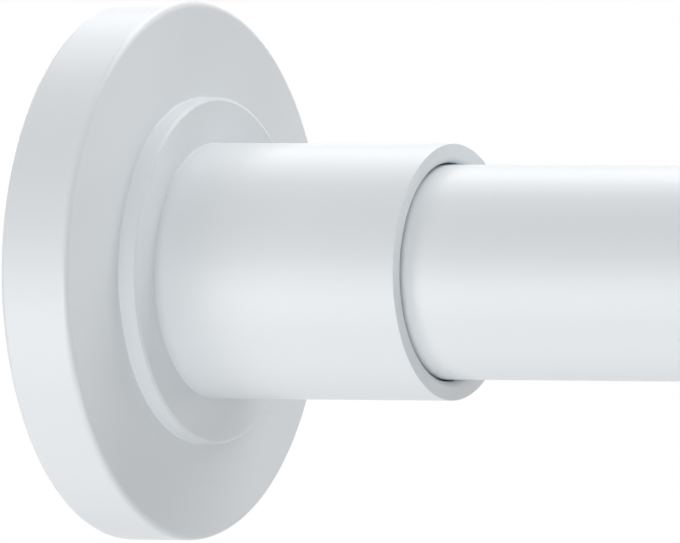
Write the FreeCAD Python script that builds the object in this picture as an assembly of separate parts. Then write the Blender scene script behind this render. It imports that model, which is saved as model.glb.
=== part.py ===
import FreeCAD, Part
import math
import os
from FreeCAD import Vector

# Spring tension rod: two telescoping steel tubes between two round wall flanges.
# The rod lies along +X, the wall plane of the left pad is x = 0, and the rod is drawn at its
# shortest setting. A twist lock grips the bore of the outer tube, and a coil spring inside the
# inner tube pushes the two flanges apart. All sizes are in millimetres.

# Whole rod: wall to wall at the shortest setting
ROD_LENGTH = 609.6

# Tubes
OUTER_TUBE_DIAMETER = 25.4
OUTER_TUBE_WALL = 0.8
TUBE_GAP = 0.8
INNER_TUBE_WALL = 0.8

# End flange: a disc with a raised step and a socket for the tube, moulded as one piece
FLANGE_DIAMETER = 64.0
FLANGE_RIM_WIDTH = 9.05
FLANGE_FACE_RISE = 0.65
FLANGE_EDGE_BEVEL = 0.5
FLANGE_RIM_WALL = 2.85
FLANGE_SKIN = 2.4
STEP_DIAMETER = 41.1
STEP_HEIGHT = 2.25
SOCKET_WALL = 2.25
SOCKET_LENGTH = 31.5
SOCKET_LIP_BEVEL = 0.5
SOCKET_GAP = 0.2
WEB_THICKNESS = 3.0
CORE_WALL = 2.0
RIB_COUNT = 8
RIB_THICKNESS = 1.8

# Wall pad: a soft disc let into the back of the flange
PAD_THICKNESS = 3.0
PAD_PROUD = 0.7
PAD_GAP = 0.15
PAD_GROOVE_DIAMETER = 40.0
PAD_GROOVE_WIDTH = 2.0
PAD_GROOVE_DEPTH = 0.6

# Pivot screw and washer: they hold the flange on the tube's end plug, free to turn
SCREW_DIAMETER = 4.0
SCREW_LENGTH = 16.0
SCREW_TIP = 3.0
SCREW_HEAD_DIAMETER = 8.0
SCREW_HEAD_HEIGHT = 2.4
SCREW_HEAD_BEVEL = 0.7
SCREW_HEAD_CLEARANCE = 0.3
SCREW_SLOT_ARMS = 4
SCREW_SLOT_WIDTH = 1.0
SCREW_SLOT_LENGTH = 4.4
SCREW_SLOT_DEPTH = 1.3
SCREW_HOLE_GAP = 0.3
WASHER_DIAMETER = 12.0
WASHER_THICKNESS = 1.0
WASHER_POCKET_GAP = 0.5

# Plugs pressed into the tubes
PLUG_HEAD = 2.0
PLUG_LENGTH = 16.0

# Fits
PRESS_GAP = 0.05
RUNNING_GAP = 0.1
THREAD_GAP = 0.1

# Mouth collar: a cap on the open end of the outer tube that guides the inner tube
COLLAR_SKIRT_WALL = 1.2
COLLAR_SKIRT_LENGTH = 9.0
COLLAR_SLEEVE_LENGTH = 18.0
COLLAR_LIP = 2.2
COLLAR_EDGE_BEVEL = 0.6

# Twist lock: a keyed cone nut is drawn along the spindle into a split sleeve
LOCK_CLEARANCE = 6.0
LOCK_PITCH = 1.5
LOCK_TURNS = 2.0
SLEEVE_GAP = 0.3
SLEEVE_LENGTH = 30.0
SLEEVE_END_WALL = 6.0
SLEEVE_MOUTH_WALL = 1.65
SLEEVE_TAPER = 0.125
SLEEVE_SLOT_COUNT = 4
SLEEVE_SLOT_WIDTH = 2.0
SLEEVE_SLOT_END = 8.0
CONE_LEAD = 6.0
CONE_SEAT_GAP = 0.1
CONE_END_CLEARANCE = 7.0
CONE_KEY_MARGIN = 2.0
KEY_SIDE_GAP = 0.2
KEY_TIP_GAP = 0.4

# Spindle: thread, thrust collar and hexagonal shaft in one turned piece
SPINDLE_THREAD_DIAMETER = 6.0
SPINDLE_THREAD_PROUD = 1.2
SPINDLE_COLLAR_DIAMETER = 14.0
SPINDLE_COLLAR_WIDTH = 2.0
SPINDLE_HEX = 8.0
SPINDLE_STUB_DIAMETER = 5.0
HEX_GAP = 0.15
HEX_SIDES = 6
STOP_NUT_HEX = 10.0
STOP_NUT_WIDTH = 5.0

# Spring end: guide bush, piston, coil spring and spring stop in the inner tube
SPRING_TRAVEL = 25.0
TRAVEL_MARGIN = 4.0
BUSH_LENGTH = 18.0
PISTON_GAP = 0.3
PISTON_THICKNESS = 4.0
SPIGOT_LENGTH = 6.0
SPIGOT_GAP = 0.5
PISTON_NUT_HEX = 8.0
PISTON_NUT_WIDTH = 4.0
SPRING_LENGTH = 64.0
SPRING_TURNS = 7.0
SPRING_WIRE = 1.8
SPRING_BORE_GAP = 0.7
SPRING_WIRE_FLATS = 5
STOP_LENGTH = 14.0
STOP_WALL = 2.0

# Positions along the rod that several pieces share
AXIS = Vector(1, 0, 0)
ORIGIN = Vector(0, 0, 0)
OUTER_BORE = OUTER_TUBE_DIAMETER - 2 * OUTER_TUBE_WALL
INNER_TUBE_DIAMETER = OUTER_BORE - 2 * TUBE_GAP
INNER_BORE = INNER_TUBE_DIAMETER - 2 * INNER_TUBE_WALL
SCREW_POCKET = SCREW_HEAD_CLEARANCE + SCREW_HEAD_HEIGHT + WASHER_THICKNESS + RUNNING_GAP
WEB_BACK = PAD_THICKNESS + SCREW_POCKET
SOCKET_FLOOR = WEB_BACK + WEB_THICKNESS
RIM_FRONT = PAD_PROUD + FLANGE_RIM_WIDTH
STEP_FRONT = RIM_FRONT + FLANGE_FACE_RISE + STEP_HEIGHT
SOCKET_END = STEP_FRONT + SOCKET_LENGTH
PAD_RECESS_RADIUS = FLANGE_DIAMETER / 2 - FLANGE_RIM_WALL
TUBE_START = SOCKET_FLOOR + RUNNING_GAP + PLUG_HEAD
MOUTH = ROD_LENGTH - SOCKET_END - TRAVEL_MARGIN - SPRING_TRAVEL - COLLAR_LIP

LOCK_START = TUBE_START + PLUG_LENGTH + LOCK_CLEARANCE
LOCK_DRAW = LOCK_PITCH * LOCK_TURNS
CONE_START = LOCK_START + SPINDLE_THREAD_PROUD + STOP_NUT_WIDTH + RUNNING_GAP
SLEEVE_START = CONE_START + CONE_LEAD
SLEEVE_END = SLEEVE_START + SLEEVE_LENGTH
SLEEVE_TAPER_END = SLEEVE_END - SLEEVE_END_WALL
CONE_END = SLEEVE_TAPER_END - LOCK_DRAW - CONE_END_CLEARANCE
THRUST_START = SLEEVE_END + RUNNING_GAP
THRUST_END = THRUST_START + SPINDLE_COLLAR_WIDTH
SLEEVE_RADIUS = OUTER_BORE / 2 - SLEEVE_GAP
SLEEVE_MOUTH_RADIUS = SLEEVE_RADIUS - SLEEVE_MOUTH_WALL

BUSH_START = THRUST_END + SPRING_TRAVEL + TRAVEL_MARGIN
INNER_TUBE_START = BUSH_START + PLUG_HEAD
PISTON_START = INNER_TUBE_START + BUSH_LENGTH + RUNNING_GAP
SPRING_START = PISTON_START + PISTON_THICKNESS
SPRING_END = SPRING_START + SPRING_LENGTH
SPRING_RADIUS = INNER_BORE / 2 - SPRING_BORE_GAP - SPRING_WIRE / 2
SPIGOT_RADIUS = SPRING_RADIUS - SPRING_WIRE / 2 - SPIGOT_GAP


# Shared operations

def turned(outline):
    """A solid turned about the rod's axis from (x, radius) corners."""
    corners = [Vector(x, radius, 0) for x, radius in outline]
    profile = Part.Face(Part.makePolygon(corners + corners[:1]))
    return profile.revolve(ORIGIN, AXIS, 360)


def bevelled(solid, places):
    """The solid with turned edges bevelled; each place is (x, edge radius, bevel)."""
    for x, edge_radius, bevel in places:
        edges = [edge for edge in solid.Edges if lies_on(edge, x, edge_radius)]
        solid = solid.makeChamfer(bevel, edges)
    return solid


def lies_on(edge, x, edge_radius):
    """True for a circular edge about the rod's axis at this x and radius."""
    if not isinstance(edge.Curve, Part.Circle):
        return False
    same_place = abs(edge.Curve.Center.x - x) < 1e-6
    return same_place and abs(edge.Curve.Radius - edge_radius) < 1e-6


def polygon_bar(sides, across_flats, x_start, x_end):
    """A regular bar along the rod's axis, measured across its flats."""
    corner_radius = across_flats / 2 / math.cos(math.pi / sides)
    angles = [2 * math.pi * i / sides for i in range(sides + 1)]
    corners = [
        Vector(x_start, corner_radius * math.cos(a), corner_radius * math.sin(a)) for a in angles
    ]
    return Part.Face(Part.makePolygon(corners)).extrude(AXIS * (x_end - x_start))


def bar(x_start, x_end, radius):
    """A plain round bar along the rod's axis."""
    return turned([(x_start, 0), (x_start, radius), (x_end, radius), (x_end, 0)])


def ring(x_start, x_end, outer_radius, bore_radius):
    """A plain tube or washer."""
    return turned(
        [(x_start, bore_radius), (x_start, outer_radius), (x_end, outer_radius), (x_end, bore_radius)]
    )


def spokes(count, x_start, x_end, inner_radius, outer_radius, thickness):
    """Flat radial blades spaced evenly round the axis."""
    blade = Part.makeBox(
        x_end - x_start,
        outer_radius - inner_radius,
        thickness,
        Vector(x_start, inner_radius, -thickness / 2),
    )
    blades = []
    for i in range(count):
        turned_blade = blade.copy()
        turned_blade.rotate(ORIGIN, AXIS, 360 * i / count)
        blades.append(turned_blade)
    return blades


def at_right_end(shape):
    """The same piece turned end for end, for the right wall."""
    piece = shape.copy()
    piece.rotate(Vector(ROD_LENGTH / 2, 0, 0), Vector(0, 0, 1), 180)
    return piece


# Wall ends, drawn for the left wall

def end_flange(tube_diameter):
    """Moulded flange, cored out from the back between ribs, with a loose socket for the tube."""
    rim = FLANGE_DIAMETER / 2
    step = STEP_DIAMETER / 2
    socket = OUTER_TUBE_DIAMETER / 2 + SOCKET_GAP + SOCKET_WALL
    bore = tube_diameter / 2 + SOCKET_GAP
    screw_hole = SCREW_DIAMETER / 2 + SCREW_HOLE_GAP
    pocket = WASHER_DIAMETER / 2 + WASHER_POCKET_GAP
    core_inner = pocket + CORE_WALL
    core_outer = PAD_RECESS_RADIUS - CORE_WALL
    core_floor = RIM_FRONT - FLANGE_SKIN
    body = turned(
        [
            (PAD_PROUD, PAD_RECESS_RADIUS),
            (PAD_PROUD, rim),
            (RIM_FRONT, rim),
            (RIM_FRONT + FLANGE_FACE_RISE, step),
            (STEP_FRONT, step),
            (STEP_FRONT, socket),
            (SOCKET_END, socket),
            (SOCKET_END, bore),
            (SOCKET_FLOOR, bore),
            (SOCKET_FLOOR, screw_hole),
            (WEB_BACK, screw_hole),
            (WEB_BACK, pocket),
            (PAD_THICKNESS, pocket),
            (PAD_THICKNESS, core_inner),
            (core_floor, core_inner),
            (core_floor, core_outer),
            (PAD_THICKNESS, core_outer),
            (PAD_THICKNESS, PAD_RECESS_RADIUS),
        ]
    )
    body = bevelled(
        body,
        [
            (PAD_PROUD, rim, FLANGE_EDGE_BEVEL),
            (RIM_FRONT, rim, FLANGE_EDGE_BEVEL),
            (SOCKET_END, bore, SOCKET_LIP_BEVEL),
        ],
    )
    overlap = CORE_WALL / 2
    ribs = spokes(
        RIB_COUNT,
        PAD_THICKNESS,
        core_floor + overlap,
        core_inner - overlap,
        core_outer + overlap,
        RIB_THICKNESS,
    )
    return body.multiFuse(ribs).removeSplitter()


def wall_pad():
    """Soft disc with a ring groove in its wall face."""
    edge = PAD_RECESS_RADIUS - PAD_GAP
    groove_inner = (PAD_GROOVE_DIAMETER - PAD_GROOVE_WIDTH) / 2
    groove_outer = (PAD_GROOVE_DIAMETER + PAD_GROOVE_WIDTH) / 2
    return turned(
        [
            (0, 0),
            (0, groove_inner),
            (PAD_GROOVE_DEPTH, groove_inner),
            (PAD_GROOVE_DEPTH, groove_outer),
            (0, groove_outer),
            (0, edge),
            (PAD_THICKNESS, edge),
            (PAD_THICKNESS, 0),
        ]
    )


def pivot_screw():
    """Pan-head screw with a cross recess, driven into the tube's end plug."""
    seat = WEB_BACK - RUNNING_GAP - WASHER_THICKNESS
    head_top = seat - SCREW_HEAD_HEIGHT
    head = SCREW_HEAD_DIAMETER / 2
    shank = SCREW_DIAMETER / 2
    tip = seat + SCREW_LENGTH
    screw = turned(
        [(head_top, 0), (head_top, head), (seat, head), (seat, shank), (tip - SCREW_TIP, shank), (tip, 0)]
    )
    screw = bevelled(screw, [(head_top, head, SCREW_HEAD_BEVEL)])
    slot_floor = head_top + SCREW_SLOT_DEPTH
    arms = spokes(SCREW_SLOT_ARMS, head_top, slot_floor, 0, SCREW_SLOT_LENGTH / 2, SCREW_SLOT_WIDTH)
    return screw.cut(arms[0].multiFuse(arms[1:]).removeSplitter())


def screw_washer():
    """Flat washer between the screw head and the flange's web."""
    face = WEB_BACK - RUNNING_GAP
    bore = SCREW_DIAMETER / 2 + PRESS_GAP
    return ring(face - WASHER_THICKNESS, face, WASHER_DIAMETER / 2, bore)


def tube_plug(tube_diameter, tube_bore):
    """Flanged plug in the tube's end that takes the pivot screw."""
    head_start = SOCKET_FLOOR + RUNNING_GAP
    shank = tube_bore / 2 - PRESS_GAP
    plug_end = TUBE_START + PLUG_LENGTH
    screw_hole = SCREW_DIAMETER / 2 + PRESS_GAP
    return turned(
        [
            (head_start, screw_hole),
            (head_start, tube_diameter / 2),
            (TUBE_START, tube_diameter / 2),
            (TUBE_START, shank),
            (plug_end, shank),
            (plug_end, screw_hole),
        ]
    )


def wall_end(tube_diameter, tube_bore):
    """All the pieces of one wall end, by name."""
    return {
        "flange": end_flange(tube_diameter),
        "wall_pad": wall_pad(),
        "pivot_screw": pivot_screw(),
        "screw_washer": screw_washer(),
        "tube_plug": tube_plug(tube_diameter, tube_bore),
    }


# Tubes and mouth collar

def outer_tube():
    """Painted steel tube that shows at the left end."""
    return ring(TUBE_START, MOUTH, OUTER_TUBE_DIAMETER / 2, OUTER_BORE / 2)


def inner_tube():
    """Painted steel tube that slides in the outer one."""
    return ring(INNER_TUBE_START, ROD_LENGTH - TUBE_START, INNER_TUBE_DIAMETER / 2, INNER_BORE / 2)


def mouth_collar():
    """Moulded cap on the outer tube's open end: a skirt outside, a guide sleeve inside."""
    guide = INNER_TUBE_DIAMETER / 2 + RUNNING_GAP
    sleeve = OUTER_BORE / 2 - PRESS_GAP
    seat = OUTER_TUBE_DIAMETER / 2 + PRESS_GAP
    skirt = seat + COLLAR_SKIRT_WALL
    skirt_start = MOUTH - COLLAR_SKIRT_LENGTH
    sleeve_start = MOUTH - COLLAR_SLEEVE_LENGTH
    lip_end = MOUTH + COLLAR_LIP
    collar = turned(
        [
            (sleeve_start, guide),
            (sleeve_start, sleeve),
            (MOUTH, sleeve),
            (MOUTH, seat),
            (skirt_start, seat),
            (skirt_start, skirt),
            (lip_end, skirt),
            (lip_end, guide),
        ]
    )
    return bevelled(
        collar, [(skirt_start, skirt, COLLAR_EDGE_BEVEL), (lip_end, skirt, COLLAR_EDGE_BEVEL)]
    )


# Twist lock

def expander_sleeve():
    """Split sleeve with a tapered mouth; its fingers press on the outer tube's bore."""
    throat = SLEEVE_MOUTH_RADIUS - SLEEVE_TAPER * (SLEEVE_TAPER_END - SLEEVE_START)
    spindle_hole = SPINDLE_THREAD_DIAMETER / 2 + THREAD_GAP
    body = turned(
        [
            (SLEEVE_START, SLEEVE_MOUTH_RADIUS),
            (SLEEVE_START, SLEEVE_RADIUS),
            (SLEEVE_END, SLEEVE_RADIUS),
            (SLEEVE_END, spindle_hole),
            (SLEEVE_TAPER_END, spindle_hole),
            (SLEEVE_TAPER_END, throat),
        ]
    )
    slots = spokes(
        SLEEVE_SLOT_COUNT,
        SLEEVE_START,
        SLEEVE_END - SLEEVE_SLOT_END,
        spindle_hole,
        OUTER_BORE / 2,
        SLEEVE_SLOT_WIDTH,
    )
    return body.cut(slots)


def expander_cone():
    """Wedge nut on the spindle; its keys run in the sleeve's slots so that it can't turn."""
    taper_start = SLEEVE_START - LOCK_DRAW
    wide = SLEEVE_MOUTH_RADIUS - CONE_SEAT_GAP
    narrow = wide - SLEEVE_TAPER * (CONE_END - taper_start)
    thread = SPINDLE_THREAD_DIAMETER / 2 + THREAD_GAP
    body = turned(
        [(CONE_START, thread), (CONE_START, wide), (taper_start, wide), (CONE_END, narrow), (CONE_END, thread)]
    )
    keys = spokes(
        SLEEVE_SLOT_COUNT,
        SLEEVE_START + CONE_KEY_MARGIN,
        CONE_END - CONE_KEY_MARGIN,
        (narrow + thread) / 2,
        SLEEVE_RADIUS - KEY_TIP_GAP,
        SLEEVE_SLOT_WIDTH - 2 * KEY_SIDE_GAP,
    )
    return body.multiFuse(keys).removeSplitter()


def spindle():
    """Thread for the cone, thrust collar, hexagonal shaft and a stub for the piston."""
    thread = SPINDLE_THREAD_DIAMETER / 2
    stub_end = SPRING_START + SPIGOT_LENGTH + PISTON_NUT_WIDTH + SPINDLE_THREAD_PROUD
    screw = bar(LOCK_START, THRUST_START, thread)
    collar = bar(THRUST_START, THRUST_END, SPINDLE_COLLAR_DIAMETER / 2)
    shaft = polygon_bar(HEX_SIDES, SPINDLE_HEX, THRUST_END, PISTON_START)
    stub = bar(PISTON_START, stub_end, SPINDLE_STUB_DIAMETER / 2)
    return screw.multiFuse([collar, shaft, stub]).removeSplitter()


def hex_nut(across_flats, thread_diameter, x_start, width):
    """Plain hexagon nut on the spindle."""
    blank = polygon_bar(HEX_SIDES, across_flats, x_start, x_start + width)
    return blank.cut(bar(x_start, x_start + width, thread_diameter / 2 + PRESS_GAP))


def stop_nut():
    """Nut at the spindle's left end that keeps the cone on the thread."""
    start = LOCK_START + SPINDLE_THREAD_PROUD
    return hex_nut(STOP_NUT_HEX, SPINDLE_THREAD_DIAMETER, start, STOP_NUT_WIDTH)


# Spring end

def guide_bush():
    """Bush pressed into the inner tube's end; its hexagonal hole turns the spindle."""
    shank = INNER_BORE / 2 - PRESS_GAP
    bush_end = INNER_TUBE_START + BUSH_LENGTH
    blank = turned(
        [
            (BUSH_START, 0),
            (BUSH_START, INNER_TUBE_DIAMETER / 2),
            (INNER_TUBE_START, INNER_TUBE_DIAMETER / 2),
            (INNER_TUBE_START, shank),
            (bush_end, shank),
            (bush_end, 0),
        ]
    )
    return blank.cut(polygon_bar(HEX_SIDES, SPINDLE_HEX + 2 * HEX_GAP, BUSH_START, bush_end))


def piston():
    """Disc on the spindle's end, with a spigot that centres the spring."""
    disc = INNER_BORE / 2 - PISTON_GAP
    spigot_end = SPRING_START + SPIGOT_LENGTH
    hole = SPINDLE_STUB_DIAMETER / 2 + PRESS_GAP
    return turned(
        [
            (PISTON_START, hole),
            (PISTON_START, disc),
            (SPRING_START, disc),
            (SPRING_START, SPIGOT_RADIUS),
            (spigot_end, SPIGOT_RADIUS),
            (spigot_end, hole),
        ]
    )


def piston_nut():
    """Nut that holds the piston on the spindle."""
    start = SPRING_START + SPIGOT_LENGTH
    return hex_nut(PISTON_NUT_HEX, SPINDLE_STUB_DIAMETER, start, PISTON_NUT_WIDTH)


def tension_spring():
    """Open coil spring with ends ground flat against the piston and the stop."""
    pitch = (SPRING_LENGTH + SPRING_WIRE) / SPRING_TURNS
    path = Part.Wire(Part.makeHelix(pitch, SPRING_LENGTH + SPRING_WIRE, SPRING_RADIUS))
    flat_radius = SPRING_WIRE / 2 / math.cos(math.pi / SPRING_WIRE_FLATS)
    angles = [2 * math.pi * (i + 0.5) / SPRING_WIRE_FLATS for i in range(SPRING_WIRE_FLATS + 1)]
    section = Part.makePolygon(
        [
            Vector(SPRING_RADIUS + flat_radius * math.cos(a), 0, flat_radius * math.sin(a))
            for a in angles
        ]
    )
    coil = path.makePipeShell([section], True, True)
    coil.rotate(ORIGIN, Vector(0, 1, 0), 90)
    coil.translate(Vector(SPRING_START - SPRING_WIRE / 2, 0, 0))
    between_seats = ring(SPRING_START, SPRING_END, INNER_BORE / 2, SPIGOT_RADIUS)
    return coil.common(between_seats)


def spring_stop():
    """Cup pressed into the inner tube, with a spigot for the spring's far end."""
    stop_end = SPRING_END + STOP_LENGTH
    shank = INNER_BORE / 2 - PRESS_GAP
    spigot_start = SPRING_END - SPIGOT_LENGTH
    bore = SPIGOT_RADIUS - STOP_WALL
    return turned(
        [
            (spigot_start, bore),
            (spigot_start, SPIGOT_RADIUS),
            (SPRING_END, SPIGOT_RADIUS),
            (SPRING_END, shank),
            (stop_end, shank),
            (stop_end, bore),
        ]
    )


def all_pieces():
    """Every piece of the rod by its node name."""
    pieces = {}
    for name, shape in wall_end(OUTER_TUBE_DIAMETER, OUTER_BORE).items():
        pieces["left_" + name] = shape
    for name, shape in wall_end(INNER_TUBE_DIAMETER, INNER_BORE).items():
        pieces["right_" + name] = at_right_end(shape)
    pieces["outer_tube"] = outer_tube()
    pieces["mouth_collar"] = mouth_collar()
    pieces["inner_tube"] = inner_tube()
    pieces["expander_sleeve"] = expander_sleeve()
    pieces["expander_cone"] = expander_cone()
    pieces["spindle"] = spindle()
    pieces["stop_nut"] = stop_nut()
    pieces["guide_bush"] = guide_bush()
    pieces["piston"] = piston()
    pieces["piston_nut"] = piston_nut()
    pieces["tension_spring"] = tension_spring()
    pieces["spring_stop"] = spring_stop()
    return pieces


os.makedirs("parts", exist_ok=True)
for node, shape in all_pieces().items():
    shape.exportStep("parts/" + node + ".step")
    print(node, "solids", len(shape.Solids), "valid", shape.isValid(), "volume", round(shape.Volume, 1))
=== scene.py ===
import math
import bmesh
import bpy
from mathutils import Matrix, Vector


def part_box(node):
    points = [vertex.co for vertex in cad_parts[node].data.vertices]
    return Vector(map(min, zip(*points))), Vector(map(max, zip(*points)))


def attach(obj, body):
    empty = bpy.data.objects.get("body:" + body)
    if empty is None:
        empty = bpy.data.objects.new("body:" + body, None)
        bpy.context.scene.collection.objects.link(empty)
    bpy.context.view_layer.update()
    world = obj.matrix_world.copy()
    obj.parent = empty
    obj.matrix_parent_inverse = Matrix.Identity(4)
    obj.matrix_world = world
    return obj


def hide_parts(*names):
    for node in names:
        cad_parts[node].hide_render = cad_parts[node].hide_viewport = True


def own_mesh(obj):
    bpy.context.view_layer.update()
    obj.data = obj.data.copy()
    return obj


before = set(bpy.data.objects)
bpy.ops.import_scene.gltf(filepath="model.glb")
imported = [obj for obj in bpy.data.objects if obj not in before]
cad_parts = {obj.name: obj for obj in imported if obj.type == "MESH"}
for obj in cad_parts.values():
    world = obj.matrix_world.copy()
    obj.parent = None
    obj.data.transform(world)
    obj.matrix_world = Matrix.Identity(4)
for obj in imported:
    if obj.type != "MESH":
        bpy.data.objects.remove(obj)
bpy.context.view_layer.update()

mm = 0.001


# End flanges
# Each wall end is one white plastic moulding: a thick disc, a raised step and a socket for the tube.
# The back is cored out between ribs, and a web with a screw hole closes the socket's floor.

def new_tree(name, sizes):
    """An empty node tree for pieces, with its named sizes, a finish and one finished piece."""
    tree = bpy.data.node_groups.new(name, "GeometryNodeTree")
    tree.interface.new_socket("Start", in_out="INPUT", socket_type="NodeSocketGeometry")
    for size, kind in sizes.items():
        tree.interface.new_socket(size, in_out="INPUT", socket_type="NodeSocket" + kind)
    tree.interface.new_socket("Finish", in_out="INPUT", socket_type="NodeSocketMaterial")
    tree.interface.new_socket("Piece", in_out="OUTPUT", socket_type="NodeSocketGeometry")
    return tree


def joined(tree, kind, links, **settings):
    """A node of this kind with its inputs linked from sockets or set to plain values."""
    node = tree.nodes.new(kind)
    for name, value in settings.items():
        setattr(node, name, value)
    for name, source in links.items():
        if isinstance(source, bpy.types.NodeSocket):
            tree.links.new(source, node.inputs[name])
        else:
            node.inputs[name].default_value = source
    return node


def finished(tree, mesh, given):
    """The end of a tree: smooth faces, sharp corners, real geometry and the finish."""
    sharp_from = math.radians(35)
    smooth = joined(
        tree, "GeometryNodeSetShadeSmooth", {"Geometry": mesh, "Shade Smooth": True}, domain="FACE"
    )
    angle = joined(tree, "GeometryNodeInputMeshEdgeAngle", {})
    corner = joined(
        tree,
        "ShaderNodeMath",
        {0: angle.outputs["Unsigned Angle"], 1: sharp_from},
        operation="GREATER_THAN",
    )
    crisp = joined(
        tree,
        "GeometryNodeSetShadeSmooth",
        {"Geometry": smooth.outputs["Geometry"], "Selection": corner.outputs[0], "Shade Smooth": False},
        domain="EDGE",
    )
    real = joined(tree, "GeometryNodeRealizeInstances", {"Geometry": crisp.outputs["Geometry"]})
    painted = joined(
        tree,
        "GeometryNodeSetMaterial",
        {"Geometry": real.outputs["Geometry"], "Material": given.outputs["Finish"]},
    )
    joined(tree, "NodeGroupOutput", {"Piece": painted.outputs["Geometry"]})


def lathe_tree():
    """Turns an outline of (radius, x) corners about the rod's axis, with each corner's own round."""
    tree = new_tree("turned on a lathe", {"Segments": "Int", "Steps In A Round": "Int"})
    hub = 1 * mm
    weld_distance = 0.001 * mm
    given = joined(tree, "NodeGroupInput", {})
    outline = joined(tree, "GeometryNodeMeshToCurve", {"Mesh": given.outputs["Start"]})
    size = joined(tree, "GeometryNodeInputNamedAttribute", {"Name": "edge_round"}, data_type="FLOAT")
    rounded = joined(
        tree,
        "GeometryNodeFilletCurve",
        {
            "Curve": outline.outputs["Curve"],
            "Count": given.outputs["Steps In A Round"],
            "Radius": size.outputs["Attribute"],
            "Limit Radius": True,
        },
        mode="POLY",
    )
    # The outline is swept round a small circle, so it first moves in by that circle's radius
    from_hub = joined(
        tree, "GeometryNodeTransform", {"Geometry": rounded.outputs["Curve"], "Translation": (-hub, 0, 0)}
    )
    circle = joined(
        tree, "GeometryNodeCurvePrimitiveCircle", {"Resolution": given.outputs["Segments"], "Radius": hub}
    )
    upright = joined(tree, "GeometryNodeSetCurveNormal", {"Curve": circle.outputs["Curve"]}, mode="Z_UP")
    swept = joined(
        tree,
        "GeometryNodeCurveToMesh",
        {"Curve": upright.outputs["Curve"], "Profile Curve": from_hub.outputs["Geometry"]},
    )
    closed = joined(
        tree, "GeometryNodeMergeByDistance", {"Geometry": swept.outputs["Mesh"], "Distance": weld_distance}
    )
    laid = joined(
        tree,
        "GeometryNodeTransform",
        {"Geometry": closed.outputs["Geometry"], "Rotation": (0, math.radians(-90), 0)},
    )
    finished(tree, laid.outputs["Geometry"], given)
    return tree


lathe = lathe_tree()


def shaped(piece, tree, **sizes):
    """Adds a tree to the piece as a modifier, with its named sizes set."""
    modifier = piece.modifiers.new(tree.name, "NODES")
    modifier.node_group = tree
    for socket in tree.interface.items_tree:
        name = socket.name.lower().replace(" ", "_")
        if socket.in_out == "INPUT" and name in sizes:
            modifier[socket.identifier] = sizes[name]


def settled(piece):
    """Turns the piece's modifiers into one plain mesh with even shading."""
    weighted = piece.modifiers.new("even shading", "WEIGHTED_NORMAL")
    weighted.keep_sharp = True
    scene_state = bpy.context.evaluated_depsgraph_get()
    mesh = bpy.data.meshes.new_from_object(piece.evaluated_get(scene_state), depsgraph=scene_state)
    piece.modifiers.clear()
    piece.data = mesh
    return piece


def new_piece(name, mesh):
    """An object at the origin that holds this mesh."""
    piece = bpy.data.objects.new(name, mesh)
    bpy.context.scene.collection.objects.link(piece)
    return piece


def outline_piece(name, outline, closed=True):
    """An object that holds an outline of (x, radius, round) corners as a line of edges."""
    mesh = bpy.data.meshes.new(name)
    count = len(outline)
    area = sum(outline[i - 1][0] * outline[i][1] - outline[i][0] * outline[i - 1][1] for i in range(count))
    # The corners run the way round that makes the turned faces point outwards
    if area > 0:
        outline = outline[::-1]
    edges = [(i, i + 1) for i in range(count - 1)]
    if closed:
        edges.append((count - 1, 0))
    mesh.from_pydata([(radius, x, 0) for x, radius, size in outline], edges, [])
    rounds = mesh.attributes.new("edge_round", "FLOAT", "POINT")
    for i, (x, radius, size) in enumerate(outline):
        rounds.data[i].value = size
    return new_piece(name, mesh)


def turned(name, outline, finish, closed=True, segments=192):
    """A piece turned about the rod's axis from (x, radius, round) corners."""
    piece = outline_piece(name, outline, closed)
    shaped(piece, lathe, segments=segments, steps_in_a_round=6, finish=finish)
    return piece


def ribs_tree():
    """Adds flat blades, spaced evenly round the rod's axis, to a turned body."""
    sizes = {"Count": "Int", "Middle Radius": "Float", "Middle": "Float", "Blade": "Vector"}
    tree = new_tree("ribs round the axis", sizes)
    given = joined(tree, "NodeGroupInput", {})
    places = joined(
        tree,
        "GeometryNodeMeshCircle",
        {"Vertices": given.outputs["Count"], "Radius": given.outputs["Middle Radius"]},
    )
    blade = joined(tree, "GeometryNodeMeshCube", {"Size": given.outputs["Blade"]})
    number = joined(tree, "GeometryNodeInputIndex", {})
    rib_spacing = joined(
        tree, "ShaderNodeMath", {0: math.tau, 1: given.outputs["Count"]}, operation="DIVIDE"
    )
    angle = joined(
        tree, "ShaderNodeMath", {0: number.outputs["Index"], 1: rib_spacing.outputs[0]}, operation="MULTIPLY"
    )
    facing = joined(tree, "ShaderNodeCombineXYZ", {"Z": angle.outputs[0]})
    blades = joined(
        tree,
        "GeometryNodeInstanceOnPoints",
        {
            "Points": places.outputs["Mesh"],
            "Instance": blade.outputs["Mesh"],
            "Rotation": facing.outputs["Vector"],
        },
    )
    along = joined(tree, "ShaderNodeCombineXYZ", {"X": given.outputs["Middle"]})
    laid = joined(
        tree,
        "GeometryNodeTransform",
        {
            "Geometry": blades.outputs["Instances"],
            "Translation": along.outputs["Vector"],
            "Rotation": (0, math.radians(90), 0),
        },
    )
    real = joined(tree, "GeometryNodeRealizeInstances", {"Geometry": laid.outputs["Geometry"]})
    both = joined(tree, "GeometryNodeJoinGeometry", {})
    tree.links.new(given.outputs["Start"], both.inputs["Geometry"])
    tree.links.new(real.outputs["Geometry"], both.inputs["Geometry"])
    finished(tree, both.outputs["Geometry"], given)
    return tree


ribs = ribs_tree()


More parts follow.
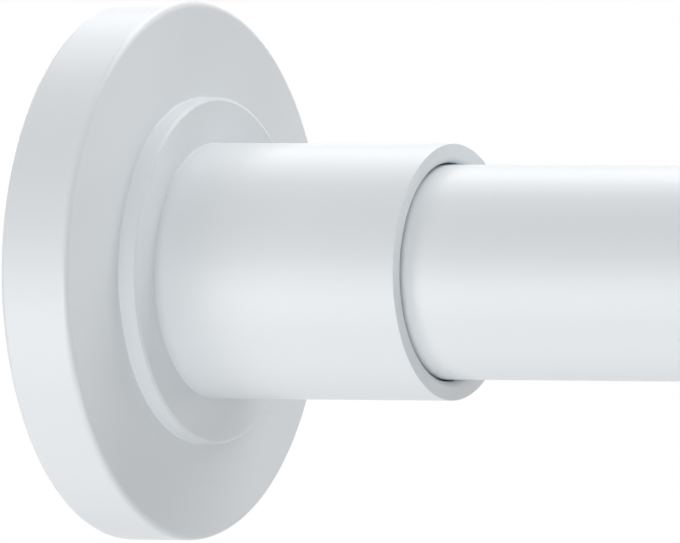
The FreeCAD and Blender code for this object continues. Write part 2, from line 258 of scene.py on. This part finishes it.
def surface_group(name, relief, texture, relief_values, **settings):
    """The faint life of a surface: a soft cloud in its colour, and a fine relief that varies its gloss."""
    cloud_detail = 3.0
    group = bpy.data.node_groups.new(name, "ShaderNodeTree")
    face = group.interface
    for socket, kind in (
        ("Colour", "Color"),
        ("Cloud Colour", "Color"),
        ("Cloud Scale", "Float"),
        (relief + " Scale", "Float"),
        ("Smooth Roughness", "Float"),
        (relief + " Roughness", "Float"),
    ):
        face.new_socket(socket, in_out="INPUT", socket_type="NodeSocket" + kind)
    for socket, kind in (("Colour", "Color"), ("Roughness", "Float"), ("Height", "Float")):
        face.new_socket(socket, in_out="OUTPUT", socket_type="NodeSocket" + kind)
    given = joined(group, "NodeGroupInput", {})
    place = joined(group, "ShaderNodeTexCoord", {})
    cloud = joined(
        group,
        "ShaderNodeTexNoise",
        {
            "Vector": place.outputs["Object"],
            "Scale": given.outputs["Cloud Scale"],
            "Detail": cloud_detail,
        },
    )
    fine = joined(
        group,
        texture,
        {
            "Vector": place.outputs["Object"],
            "Scale": given.outputs[relief + " Scale"],
            **relief_values,
        },
        **settings,
    )
    tone = joined(
        group,
        "ShaderNodeMix",
        {0: cloud.outputs["Fac"], 6: given.outputs["Colour"], 7: given.outputs["Cloud Colour"]},
        data_type="RGBA",
    )
    gloss = joined(
        group,
        "ShaderNodeMapRange",
        {
            "Value": fine.outputs["Fac"],
            "To Min": given.outputs["Smooth Roughness"],
            "To Max": given.outputs[relief + " Roughness"],
        },
    )
    joined(
        group,
        "NodeGroupOutput",
        {
            "Colour": tone.outputs[2],
            "Roughness": gloss.outputs["Result"],
            "Height": fine.outputs["Fac"],
        },
    )
    return group


# Moulded, rubber and coated surfaces have a fine grain
plain_surface = surface_group("plain surface", "Grain", "ShaderNodeTexNoise", {"Detail": 2.0})


def material_with(name, group, values, bump_strength, bump_depth, **shader_values):
    """A material whose colour, gloss and relief come from a surface group with its own values."""
    material = bpy.data.materials.new(name)
    material.use_nodes = True
    tree = material.node_tree
    shader = tree.nodes["Principled BSDF"]
    surface = tree.nodes.new("ShaderNodeGroup")
    surface.node_tree = group
    for socket, value in values.items():
        surface.inputs[socket].default_value = value
    relief = joined(
        tree,
        "ShaderNodeBump",
        {"Height": surface.outputs["Height"], "Strength": bump_strength, "Distance": bump_depth},
    )
    tree.links.new(surface.outputs["Colour"], shader.inputs["Base Color"])
    tree.links.new(surface.outputs["Roughness"], shader.inputs["Roughness"])
    tree.links.new(relief.outputs["Normal"], shader.inputs["Normal"])
    for socket, value in shader_values.items():
        shader.inputs[socket.replace("_", " ").title()].default_value = value
    return material


white_tone = (0.800, 0.833, 0.858, 1)
white_cloud = (0.812, 0.843, 0.866, 1)
white_moulding = material_with(
    "white_moulding",
    plain_surface,
    {
        "Colour": white_tone,
        "Cloud Colour": white_cloud,
        "Cloud Scale": 45.0,
        "Grain Scale": 2600.0,
        "Smooth Roughness": 0.285,
        "Grain Roughness": 0.33,
    },
    bump_strength=0.1,
    bump_depth=0.003 * mm,
)

flange_low, flange_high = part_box("left_flange")
rod_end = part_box("right_wall_pad")[1][0]
outer_tube_low, outer_tube_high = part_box("outer_tube")
inner_tube_low, inner_tube_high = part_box("inner_tube")
flange_back = flange_low[0]
socket_end = flange_high[0]
rim_radius = flange_high[2]
outer_radius = outer_tube_high[2]
inner_radius = inner_tube_high[2]
rim_width = 9.05 * mm
rim_round = 0.85 * mm
rim_wall = 2.85 * mm
face_rise = 0.65 * mm
step_radius = 20.55 * mm
step_height = 2.25 * mm
step_dish = 0.37 * mm
step_bevel_depth = 0.2 * mm
step_bevel_width = 0.36 * mm
step_round = 0.08 * mm
foot_round = 0.12 * mm
socket_gap = 0.2 * mm
socket_radius = 15.15 * mm
lip_round = 0.1 * mm
bore_round = 0.85 * mm
back_round = 0.3 * mm
socket_floor = 9.8 * mm
floor_round = 0.5 * mm
web_back = 6.8 * mm
screw_hole = 2.3 * mm
pocket_radius = 6.5 * mm
core_wall = 2.0 * mm
pad_seat = 3.0 * mm
skin = 2.4 * mm
rib_count = 8
rib_thickness = 1.8 * mm
rib_recess = 0.1 * mm
recess_radius = rim_radius - rim_wall
rim_front = flange_back + rim_width
step_front = rim_front + face_rise + step_height
core_inner = pocket_radius + core_wall
core_outer = recess_radius - core_wall
core_floor = rim_front - skin
rib_back = pad_seat + rib_recess
rib_front = core_floor + skin / 2


def flange_outline(tube_radius):
    """The flange's section as (depth from the wall, radius, round) corners."""
    bore = tube_radius + socket_gap
    return [
        (flange_back, recess_radius, back_round),
        (flange_back, rim_radius, rim_round),
        (rim_front, rim_radius, rim_round),
        (rim_front + face_rise, step_radius, foot_round),
        (step_front - step_bevel_depth, step_radius, step_round),
        (step_front, step_radius - step_bevel_width, step_round),
        (step_front - step_dish, socket_radius, foot_round),
        (socket_end, socket_radius, lip_round),
        (socket_end, bore, bore_round),
        (socket_floor, bore, floor_round),
        (socket_floor, screw_hole, 0),
        (web_back, screw_hole, 0),
        (web_back, pocket_radius, 0),
        (pad_seat, pocket_radius, back_round),
        (pad_seat, core_inner, back_round),
        (core_floor, core_inner, floor_round),
        (core_floor, core_outer, floor_round),
        (pad_seat, core_outer, back_round),
        (pad_seat, recess_radius, 0),
    ]


def from_wall(side, depth):
    """The place along the rod of a depth from the wall on this side."""
    return depth if side == "left" else rod_end - depth


def wall_outline(side, outline):
    """An outline given by depth from the wall, set at the wall on this side."""
    return [(from_wall(side, depth), radius, size) for depth, radius, size in outline]


for side, tube_radius in (("left", outer_radius), ("right", inner_radius)):
    section = wall_outline(side, flange_outline(tube_radius))
    flange = turned(side + "_flange_moulding", section, white_moulding)
    shaped(
        flange,
        ribs,
        count=rib_count,
        middle_radius=(core_inner + core_outer) / 2,
        middle=from_wall(side, (rib_back + rib_front) / 2),
        blade=(core_outer - core_inner + core_wall, rib_thickness, rib_front - rib_back),
        finish=white_moulding,
    )
    settled(flange)
    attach(flange, side + "_foot")
    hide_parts(side + "_flange")


# Wall pads
# Each pad is a soft rubber disc let into the back of the flange, and it stands proud of the rim.
# A ring groove in its wall face helps it to grip, and it is held in the recess by glue.

pale_rubber = material_with(
    "pale_rubber",
    plain_surface,
    {
        "Colour": (0.66, 0.67, 0.68, 1),
        "Cloud Colour": (0.70, 0.71, 0.72, 1),
        "Cloud Scale": 90.0,
        "Grain Scale": 3500.0,
        "Smooth Roughness": 0.62,
        "Grain Roughness": 0.78,
    },
    bump_strength=0.3,
    bump_depth=0.05 * mm,
)

pad_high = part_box("left_wall_pad")[1]
pad_thickness = pad_high[0]
pad_radius = pad_high[2]
pad_edge_round = 0.5 * mm
groove_inner = 19.0 * mm
groove_outer = 21.0 * mm
groove_depth = 0.6 * mm
groove_round = 0.25 * mm
pad_outline = [
    (0, 0, 0),
    (0, groove_inner, groove_round),
    (groove_depth, groove_inner, groove_round),
    (groove_depth, groove_outer, groove_round),
    (0, groove_outer, groove_round),
    (0, pad_radius, pad_edge_round),
    (pad_thickness, pad_radius, pad_edge_round),
    (pad_thickness, 0, 0),
]

for side in ("left", "right"):
    pad = turned(side + "_rubber_pad", wall_outline(side, pad_outline), pale_rubber, closed=False)
    settled(pad)
    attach(pad, side + "_foot")
    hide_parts(side + "_wall_pad")


# Pivot screws, washers and tube plugs
# A pan-head steel screw and a flat washer hold each flange on a plastic plug in the tube's end.
# The screw cuts its own thread in the plug, and the flange turns freely under the washer.

def wound_tree():
    """A strand wound round the rod's axis, with closed turns at its ends where they are asked for."""
    sizes = {
        "Radius": "Float",
        "First": "Float",
        "Length": "Float",
        "Turns": "Float",
        "Closed Turns": "Float",
        "Strand Radius": "Float",
        "Strand Sides": "Int",
        "Steps In A Turn": "Int",
    }
    closed_rise = 2.05
    tree = new_tree("wound round the axis", sizes)
    given = joined(tree, "NodeGroupInput", {})

    def result_of(operation, first, second):
        return joined(tree, "ShaderNodeMath", {0: first, 1: second}, operation=operation).outputs[0]

    def climb(start, end, height):
        links = {"Value": turn, "From Min": start, "From Max": end, "To Min": 0.0, "To Max": height}
        return joined(tree, "ShaderNodeMapRange", links).outputs["Result"]

    turns = given.outputs["Turns"]
    closed = given.outputs["Closed Turns"]
    steps = result_of("MULTIPLY", turns, given.outputs["Steps In A Turn"])
    line = joined(tree, "GeometryNodeCurvePrimitiveLine", {"End": (0, 0, 1)})
    points = joined(
        tree, "GeometryNodeResampleCurve", {"Curve": line.outputs["Curve"], "Count": steps}, mode="COUNT"
    )
    along = joined(tree, "GeometryNodeSplineParameter", {})
    turn = result_of("MULTIPLY", along.outputs["Factor"], turns)
    angle = result_of("MULTIPLY", turn, math.tau)
    last_open = result_of("SUBTRACT", turns, closed)
    # A closed turn climbs just over the strand's own width
    closed_pitch = result_of("MULTIPLY", given.outputs["Strand Radius"], closed_rise)
    closed_height = result_of("MULTIPLY", closed, closed_pitch)
    both_closed = result_of("MULTIPLY", closed_height, 2.0)
    open_height = result_of("SUBTRACT", given.outputs["Length"], both_closed)
    first_climb = climb(0.0, closed, closed_height)
    open_climb = climb(closed, last_open, open_height)
    last_climb = climb(last_open, turns, closed_height)
    height = result_of("ADD", result_of("ADD", first_climb, open_climb), last_climb)
    place = joined(
        tree,
        "ShaderNodeCombineXYZ",
        {
            "X": result_of("MULTIPLY", given.outputs["Radius"], result_of("COSINE", angle, 0.0)),
            "Y": result_of("MULTIPLY", given.outputs["Radius"], result_of("SINE", angle, 0.0)),
            "Z": result_of("ADD", height, given.outputs["First"]),
        },
    )
    helix = joined(
        tree,
        "GeometryNodeSetPosition",
        {"Geometry": points.outputs["Curve"], "Position": place.outputs["Vector"]},
    )
    upright = joined(tree, "GeometryNodeSetCurveNormal", {"Curve": helix.outputs["Geometry"]}, mode="Z_UP")
    section = joined(
        tree,
        "GeometryNodeCurvePrimitiveCircle",
        {"Resolution": given.outputs["Strand Sides"], "Radius": given.outputs["Strand Radius"]},
    )
    swept = joined(
        tree,
        "GeometryNodeCurveToMesh",
        {
            "Curve": upright.outputs["Curve"],
            "Profile Curve": section.outputs["Curve"],
            "Fill Caps": True,
        },
    )
    laid = joined(
        tree,
        "GeometryNodeTransform",
        {"Geometry": swept.outputs["Mesh"], "Rotation": (0, math.radians(90), 0)},
    )
    finished(tree, laid.outputs["Geometry"], given)
    return tree


wound = wound_tree()


def thread(name, first, last, crest_radius, pitch, finish):
    """A right-hand thread ridge between two places along the rod; its root sinks into the core."""
    ridge_share = 0.42
    piece = new_piece(name, bpy.data.meshes.new(name))
    ridge = ridge_share * pitch
    shaped(
        piece,
        wound,
        radius=crest_radius - ridge,
        first=first,
        length=last - first,
        turns=(last - first) / pitch,
        strand_radius=ridge,
        strand_sides=4,
        steps_in_a_turn=36,
        finish=finish,
    )
    return settled(piece)


def one_piece(pieces):
    """Joins finished meshes into the first of them."""
    with bpy.context.temp_override(active_object=pieces[0], selected_editable_objects=pieces):
        bpy.ops.object.join()
    return pieces[0]


# Plated metal and wire have rings across the rod, as a lathe or a drawing die leaves them
turned_metal = surface_group(
    "turned metal",
    "Ring",
    "ShaderNodeTexWave",
    {"Distortion": 1.5, "Detail": 2.0},
    bands_direction="X",
)
zinc_plate = material_with(
    "zinc_plate",
    turned_metal,
    {
        "Colour": (0.58, 0.59, 0.61, 1),
        "Cloud Colour": (0.66, 0.66, 0.65, 1),
        "Cloud Scale": 220.0,
        "Ring Scale": 900.0,
        "Smooth Roughness": 0.29,
        "Ring Roughness": 0.38,
    },
    bump_strength=0.1,
    bump_depth=0.01 * mm,
    metallic=1.0,
)
natural_plastic = material_with(
    "natural_plastic",
    plain_surface,
    {
        "Colour": (0.70, 0.69, 0.64, 1),
        "Cloud Colour": (0.74, 0.73, 0.69, 1),
        "Cloud Scale": 70.0,
        "Grain Scale": 2200.0,
        "Smooth Roughness": 0.42,
        "Grain Roughness": 0.55,
    },
    bump_strength=0.15,
    bump_depth=0.03 * mm,
)

screw_seat = 5.7 * mm
screw_head_height = 2.4 * mm
screw_head_radius = 4.0 * mm
screw_head_round = 1.4 * mm
screw_crest = 2.0 * mm
screw_core = 1.5 * mm
screw_edge_round = 0.2 * mm
screw_length = 16.0 * mm
screw_point = 3.0 * mm
screw_thread_pitch = 1.25 * mm
plain_shank = 4.5 * mm
slot_length = 4.4 * mm
slot_width = 1.0 * mm
slot_depth = 1.3 * mm
screw_head_top = screw_seat - screw_head_height
screw_tip = screw_seat + screw_length
shank_end = screw_seat + plain_shank
screw_outline = [
    (screw_head_top, 0, 0),
    (screw_head_top, screw_head_radius, screw_head_round),
    (screw_seat, screw_head_radius, screw_edge_round),
    (screw_seat, screw_crest, 0),
    (shank_end, screw_crest, 0),
    (shank_end + (screw_crest - screw_core), screw_core, 0),
    (screw_tip - screw_point, screw_core, 0),
    (screw_tip, 0, 0),
]


def cut_slot(piece, middle, size):
    """Cuts a box out of the piece."""
    mesh = bpy.data.meshes.new("cutter")
    shape = bmesh.new()
    bmesh.ops.create_cube(shape, size=1)
    bmesh.ops.scale(shape, vec=size, verts=shape.verts)
    bmesh.ops.translate(shape, vec=middle, verts=shape.verts)
    shape.to_mesh(mesh)
    shape.free()
    cutter = new_piece("cutter", mesh)
    cut = piece.modifiers.new("slot", "BOOLEAN")
    cut.object = cutter
    cut.operation = "DIFFERENCE"
    settled(piece)
    bpy.data.objects.remove(cutter)


def dressed(node, material):
    """Gives a carried-over node its finish."""
    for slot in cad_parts[node].material_slots:
        slot.material = material


for side, body in (("left", "outer_tube"), ("right", "inner_tube")):
    screw = turned(
        side + "_pan_head_screw", wall_outline(side, screw_outline), zinc_plate, closed=False, segments=64
    )
    settled(screw)
    slot_middle = (from_wall(side, screw_head_top), 0, 0)
    cut_slot(screw, slot_middle, (2 * slot_depth, slot_length, slot_width))
    cut_slot(screw, slot_middle, (2 * slot_depth, slot_width, slot_length))
    first, last = sorted([from_wall(side, shank_end), from_wall(side, screw_tip - screw_point / 2)])
    ridge = thread(side + "_screw_thread", first, last, screw_crest, screw_thread_pitch, zinc_plate)
    one_piece([screw, ridge])
    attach(screw, body)
    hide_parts(side + "_pivot_screw")
    dressed(side + "_screw_washer", zinc_plate)
    dressed(side + "_tube_plug", natural_plastic)


# Tubes
# The outer and the inner tube are thin drawn steel with a white powder coat and clean cut ends.
# The outer one turns in the left flange, and the inner one slides in it and turns in the right flange.

white_powder_coat = material_with(
    "white_powder_coat",
    plain_surface,
    {
        "Colour": white_tone,
        "Cloud Colour": white_cloud,
        "Cloud Scale": 30.0,
        "Grain Scale": 1100.0,
        "Smooth Roughness": 0.285,
        "Grain Roughness": 0.32,
    },
    bump_strength=0.1,
    bump_depth=0.003 * mm,
)

tube_wall = 0.8 * mm
tube_edge_round = 0.2 * mm
for name, low, high in (
    ("outer_tube", outer_tube_low, outer_tube_high),
    ("inner_tube", inner_tube_low, inner_tube_high),
):
    outside = high[2]
    bore = outside - tube_wall
    tube = turned(
        name + "_coated",
        [
            (low[0], bore, tube_edge_round),
            (low[0], outside, tube_edge_round),
            (high[0], outside, tube_edge_round),
            (high[0], bore, tube_edge_round),
        ],
        white_powder_coat,
    )
    settled(tube)
    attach(tube, name)
    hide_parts(name)


# Mouth collar
# A white plastic cap pushed on the open end of the outer tube, with a skirt outside the tube.
# Its sleeve inside the tube guides the inner tube, and its rounded lip covers the cut edge.

collar_low, collar_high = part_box("mouth_collar")
collar_skirt = collar_high[2]
collar_skirt_length = 9.0 * mm
collar_lip = 2.2 * mm
collar_round = 0.6 * mm
running_gap = 0.1 * mm
press_gap = 0.05 * mm
guide_radius = inner_radius + running_gap
collar_sleeve = outer_radius - tube_wall - press_gap
collar_seat = outer_radius + press_gap
mouth = collar_high[0] - collar_lip
skirt_start = mouth - collar_skirt_length
collar = turned(
    "mouth_collar_moulding",
    [
        (collar_low[0], guide_radius, 0),
        (collar_low[0], collar_sleeve, tube_edge_round),
        (mouth, collar_sleeve, 0),
        (mouth, collar_seat, 0),
        (skirt_start, collar_seat, 0),
        (skirt_start, collar_skirt, collar_round),
        (collar_high[0], collar_skirt, collar_round),
        (collar_high[0], guide_radius, tube_edge_round),
    ],
    white_moulding,
)
settled(collar)
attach(collar, "outer_tube")
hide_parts("mouth_collar")


# Twist lock
# A black nylon sleeve, split into fingers, and a keyed nylon cone sit on a threaded steel spindle.
# A twist of the inner tube turns the spindle, which draws the cone into the sleeve and grips the tube.

black_nylon = material_with(
    "black_nylon",
    plain_surface,
    {
        "Colour": (0.022, 0.022, 0.024, 1),
        "Cloud Colour": (0.034, 0.034, 0.036, 1),
        "Cloud Scale": 120.0,
        "Grain Scale": 1800.0,
        "Smooth Roughness": 0.40,
        "Grain Roughness": 0.58,
    },
    bump_strength=0.2,
    bump_depth=0.03 * mm,
)

for node in ("expander_sleeve", "expander_cone"):
    dressed(node, black_nylon)
dressed("stop_nut", zinc_plate)

spindle_low, spindle_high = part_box("spindle")
sleeve_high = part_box("expander_sleeve")[1]
piston_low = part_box("piston")[0]
spindle_crest = 3.0 * mm
spindle_core = 2.45 * mm
spindle_pitch = 1.5 * mm
spindle_collar_radius = 7.0 * mm
spindle_collar_width = 2.0 * mm
spindle_edge = 0.4 * mm
stub_crest = 2.5 * mm
stub_core = 2.1 * mm
stub_pitch = 0.8 * mm
hex_sides = 6
hex_half_width = 4.0 * mm
hex_corner = hex_half_width / math.cos(math.pi / hex_sides)
thrust_start = sleeve_high[0] + running_gap
thrust_end = thrust_start + spindle_collar_width
spindle_ends = [
    (spindle_low[0], 0, 0),
    (spindle_low[0], spindle_core, spindle_edge),
    (thrust_start, spindle_core, 0),
    (thrust_start, spindle_collar_radius, spindle_edge),
    (thrust_end, spindle_collar_radius, spindle_edge),
    (thrust_end, stub_core, 0),
    (spindle_high[0], stub_core, spindle_edge),
    (spindle_high[0], 0, 0),
]
spindle_shaft = [
    (thrust_end - spindle_edge, 0, 0),
    (thrust_end - spindle_edge, hex_corner, 0),
    (piston_low[0], hex_corner, 0),
    (piston_low[0], 0, 0),
]
spindle = settled(turned("threaded_spindle", spindle_ends, zinc_plate, closed=False, segments=96))
shaft = settled(turned("spindle_shaft", spindle_shaft, zinc_plate, closed=False, segments=hex_sides))
lock_thread = thread(
    "spindle_lock_thread",
    spindle_low[0] + spindle_pitch / 2,
    thrust_start - spindle_pitch / 2,
    spindle_crest,
    spindle_pitch,
    zinc_plate,
)
stub_thread = thread(
    "spindle_stub_thread",
    piston_low[0] + stub_pitch / 2,
    spindle_high[0] - stub_pitch / 2,
    stub_crest,
    stub_pitch,
    zinc_plate,
)
one_piece([spindle, shaft, lock_thread, stub_thread])
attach(spindle, "plunger")
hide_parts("spindle")


# Spring end
# A nylon bush with a hexagonal hole closes the inner tube's end and turns the spindle's shaft.
# Behind it a coil of spring wire, closed at both ends, sits between the piston and a pressed-in stop.

for node in ("guide_bush", "piston", "spring_stop"):
    dressed(node, black_nylon)
dressed("piston_nut", zinc_plate)

spring_wire_finish = material_with(
    "drawn_spring_wire",
    turned_metal,
    {
        "Colour": (0.36, 0.36, 0.37, 1),
        "Cloud Colour": (0.46, 0.46, 0.46, 1),
        "Cloud Scale": 260.0,
        "Ring Scale": 1500.0,
        "Smooth Roughness": 0.28,
        "Ring Roughness": 0.42,
    },
    bump_strength=0.1,
    bump_depth=0.01 * mm,
    metallic=1.0,
)

spring_low, spring_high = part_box("tension_spring")
spring_wire_radius = 0.9 * mm
spring_radius = 8.7 * mm
spring_turns = 9.0
spring_closed_turns = 1.0
spring = new_piece("coil_spring", bpy.data.meshes.new("coil_spring"))
shaped(
    spring,
    wound,
    radius=spring_radius,
    first=spring_low[0] + spring_wire_radius,
    length=spring_high[0] - spring_low[0] - 2 * spring_wire_radius,
    turns=spring_turns,
    closed_turns=spring_closed_turns,
    strand_radius=spring_wire_radius,
    strand_sides=14,
    steps_in_a_turn=48,
    finish=spring_wire_finish,
)
settled(spring)
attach(spring, "inner_tube")
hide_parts("tension_spring")
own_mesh(spring)


# Studio
# A pale floor below the rod, a white surround, soft lamps and a camera at the photograph's angle.
# The surround and the floor show white to the camera, while the lamps light the rod at a plain level.
# A dark card off to the right shows only in gloss, where it draws thin dark lines on rounded edges.

def seen_directly(tree):
    """1 for rays from the camera, from gloss and through glass, 0 for soft light."""
    path = joined(tree, "ShaderNodeLightPath", {})
    shine = joined(
        tree,
        "ShaderNodeMath",
        {0: path.outputs["Is Camera Ray"], 1: path.outputs["Is Glossy Ray"]},
        operation="MAXIMUM",
    )
    return joined(
        tree,
        "ShaderNodeMath",
        {0: shine.outputs[0], 1: path.outputs["Is Transmission Ray"]},
        operation="MAXIMUM",
    ).outputs[0]


def flat_square(name, half):
    """A flat square about its own middle, facing up."""
    mesh = bpy.data.meshes.new(name)
    corners = [(-half, -half, 0), (half, -half, 0), (half, half, 0), (-half, half, 0)]
    mesh.from_pydata(corners, [], [(0, 1, 2, 3)])
    return new_piece(name, mesh)


def clouded(tree, first, second):
    """A tone that drifts softly between two others across a square."""
    cloud_scale = 3.0
    cloud_detail = 2.0
    place = joined(tree, "ShaderNodeTexCoord", {})
    cloud = joined(
        tree,
        "ShaderNodeTexNoise",
        {"Vector": place.outputs["Object"], "Scale": cloud_scale, "Detail": cloud_detail},
    )
    tone = joined(tree, "ShaderNodeMix", {0: cloud.outputs["Fac"], 6: first, 7: second}, data_type="RGBA")
    return tone.outputs[2]


floor_height = -1.1
floor_half = 4.0
floor = flat_square("floor", floor_half)
floor.location = (rod_end / 2, 0, floor_height)
floor_paint = bpy.data.materials.new("pale_floor")
floor_paint.use_nodes = True
floor_tree = floor_paint.node_tree
floor_tree.nodes.clear()
white_light = (1, 1, 1, 1)
floor_low_tone = (0.84, 0.84, 0.84, 1)
floor_high_tone = (0.87, 0.87, 0.87, 1)
floor_whiteness = 0.7
fade_start = 1.5
fade_end = 3.5
floor_place = joined(floor_tree, "ShaderNodeTexCoord", {})
floor_tone = clouded(floor_tree, floor_low_tone, floor_high_tone)
floor_matt = joined(floor_tree, "ShaderNodeBsdfDiffuse", {"Color": floor_tone})
floor_white = joined(floor_tree, "ShaderNodeEmission", {"Color": white_light, "Strength": 1.0})
floor_reach = joined(
    floor_tree, "ShaderNodeVectorMath", {0: floor_place.outputs["Object"]}, operation="LENGTH"
)
floor_fade = joined(
    floor_tree,
    "ShaderNodeMapRange",
    {
        "Value": floor_reach.outputs["Value"],
        "From Min": fade_start,
        "From Max": fade_end,
        "To Min": floor_whiteness,
        "To Max": 1.0,
    },
    interpolation_type="SMOOTHSTEP",
)
floor_share = joined(
    floor_tree,
    "ShaderNodeMath",
    {0: seen_directly(floor_tree), 1: floor_fade.outputs["Result"]},
    operation="MULTIPLY",
)
floor_mix = joined(
    floor_tree,
    "ShaderNodeMixShader",
    {0: floor_share.outputs[0], 1: floor_matt.outputs[0], 2: floor_white.outputs[0]},
)
joined(floor_tree, "ShaderNodeOutputMaterial", {"Surface": floor_mix.outputs[0]})
floor.data.materials.append(floor_paint)

surround = bpy.data.worlds.new("white_surround")
surround.use_nodes = True
surround_tree = surround.node_tree
surround_tree.nodes.clear()
surround_fill = 0.35
soft_fill = joined(
    surround_tree, "ShaderNodeBackground", {"Color": white_light, "Strength": surround_fill}
)
shown_white = joined(surround_tree, "ShaderNodeBackground", {"Color": white_light, "Strength": 1.0})
surround_mix = joined(
    surround_tree,
    "ShaderNodeMixShader",
    {0: seen_directly(surround_tree), 1: soft_fill.outputs[0], 2: shown_white.outputs[0]},
)
joined(surround_tree, "ShaderNodeOutputWorld", {"Surface": surround_mix.outputs[0]})
bpy.context.scene.world = surround

camera_data = bpy.data.cameras.new("camera")
camera_data.sensor_width = 36
camera_data.lens = 1000
camera_data.clip_end = 100
camera = bpy.data.objects.new("camera", camera_data)
bpy.context.scene.collection.objects.link(camera)
view_turn = math.radians(28.3)
view_rise = math.radians(0.6)
view_distance = 2.2316
aim = Vector((0.02897, 0, 0))
view_level = math.cos(view_rise)
towards_camera = Vector(
    (math.sin(view_turn) * view_level, -math.cos(view_turn) * view_level, math.sin(view_rise))
)


def face_aim(thing, way, distance):
    """Places a thing this far out from the aim, facing back at it."""
    thing.location = aim + way * distance
    thing.rotation_euler = way.to_track_quat("Z", "Y").to_euler()


face_aim(camera, towards_camera, view_distance)
bpy.context.scene.camera = camera
bpy.context.scene.view_settings.view_transform = "Standard"

view_right = Vector((0, 0, 1)).cross(towards_camera).normalized()


def way_out(turn, rise):
    """The direction at this many degrees to the right of the camera and above the level."""
    side = towards_camera * math.cos(math.radians(turn)) + view_right * math.sin(math.radians(turn))
    return side * math.cos(math.radians(rise)) + Vector((0, 0, math.sin(math.radians(rise))))


card_half = 2.0
card_distance = 2.6
card_turn = 62
card_low_tone = (0.008, 0.008, 0.008, 1)
card_high_tone = (0.014, 0.014, 0.014, 1)
card = flat_square("dark_card", card_half)
face_aim(card, way_out(card_turn, 0), card_distance)
card.visible_camera = False
card.visible_diffuse = False
card.visible_shadow = False
card.visible_transmission = False
card_paint = bpy.data.materials.new("dark_card")
card_paint.use_nodes = True
card_tree = card_paint.node_tree
card_tone = clouded(card_tree, card_low_tone, card_high_tone)
card_tree.links.new(card_tone, card_tree.nodes["Principled BSDF"].inputs["Base Color"])
card.data.materials.append(card_paint)

lamp_distance = 1.3
lamp_width = 0.6
for lamp_name, turn, rise, power in (
    ("high_right", 100, 62, 4.3),
    ("high_right_back", 150, 62, 4.3),
    ("high_left_back", -155, 62, 1.45),
    ("back", 180, 45, 1.55),
    ("right_side", 105, 38, 2.55),
    ("front_left", -24, -12, 5.25),
    ("left_side", -65, -8, 2.0),
    ("low_left", -60, -28, 1.65),
    ("low_right", 40, -48, 2.25),
    ("left_end", -165, 5, 2.2),
):
    lamp_data = bpy.data.lights.new(lamp_name, "AREA")
    lamp_data.shape = "SQUARE"
    lamp_data.size = lamp_width
    lamp_data.energy = power
    lamp = bpy.data.objects.new(lamp_name, lamp_data)
    face_aim(lamp, way_out(turn, rise), lamp_distance)
    bpy.context.scene.collection.objects.link(lamp)
